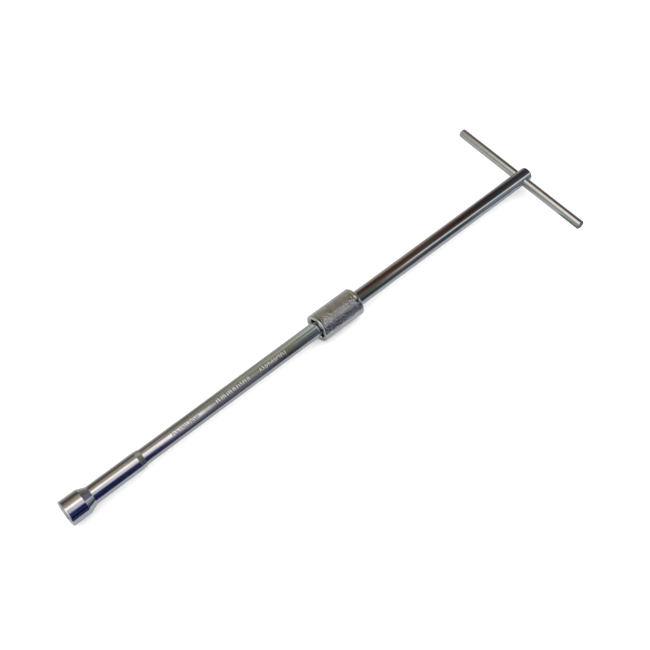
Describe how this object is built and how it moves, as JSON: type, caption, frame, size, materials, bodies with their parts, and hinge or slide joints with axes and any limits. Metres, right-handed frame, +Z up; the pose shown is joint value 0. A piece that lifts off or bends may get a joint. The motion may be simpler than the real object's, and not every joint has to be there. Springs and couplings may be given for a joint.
{
  "type": "tap wrench",
  "caption": "Long-reach T-handle tap wrench: a lower tube with a deep hexagon nut socket plugs into a hexagon-mouthed coupling on the upper shaft, which has a sliding T bar.",
  "frame": {"origin": "middle of the footprint, on the surface that the tool lies on", "axes": "+X along the tool's axis from the nut socket to the T bar, +Y along the T bar, +Z up; the axis is 11 mm above the surface"},
  "size_m": [0.444, 0.13, 0.022],
  "materials": {
    "bright_chrome": "bright chrome plate on steel",
    "satin_chrome": "satin chrome plate on steel with a fine rolled texture",
    "bright_steel": "bright turned steel",
    "spring_steel": "oiled spring wire"
  },
  "bodies": {
    "upper_section": {"upper_shaft": "bright_chrome", "coupling_socket": "satin_chrome", "coupling_pin": "bright_steel", "shaft_end_plug": "bright_steel", "bar_ball_spring": "spring_steel"},
    "t_bar": {"tommy_bar": "bright_chrome"},
    "bar_ball_body": {"bar_ball": "bright_steel"},
    "lower_section": {"lower_tube": "bright_chrome", "nut_socket": "bright_chrome", "drive_tang": "bright_steel", "tang_ball_spring": "spring_steel"},
    "tang_ball_body": {"tang_ball": "bright_steel"}
  },
  "joints": [
    {"name": "bar_slide", "type": "slide", "parent": "upper_section", "child": "t_bar", "axis": [0, 1, 0], "range_m": [-0.057, 0.055]},
    {"name": "section_pull", "type": "slide", "parent": "upper_section", "child": "lower_section", "axis": [-1, 0, 0], "range_m": [0, 0.03]},
    {"name": "bar_ball_press", "type": "slide", "parent": "upper_section", "child": "bar_ball_body", "axis": [-1, 0, 0], "range_m": [0, 0.0008], "stiffness_N_per_m": 2000, "springref_m": -0.0005, "deforming": ["bar_ball_spring"]},
    {"name": "tang_ball_press", "type": "slide", "parent": "lower_section", "child": "tang_ball_body", "axis": [0, -0.5, -0.866], "range_m": [0, 0.0005], "stiffness_N_per_m": 2000, "springref_m": -0.0005, "deforming": ["tang_ball_spring"]}
  ]
}
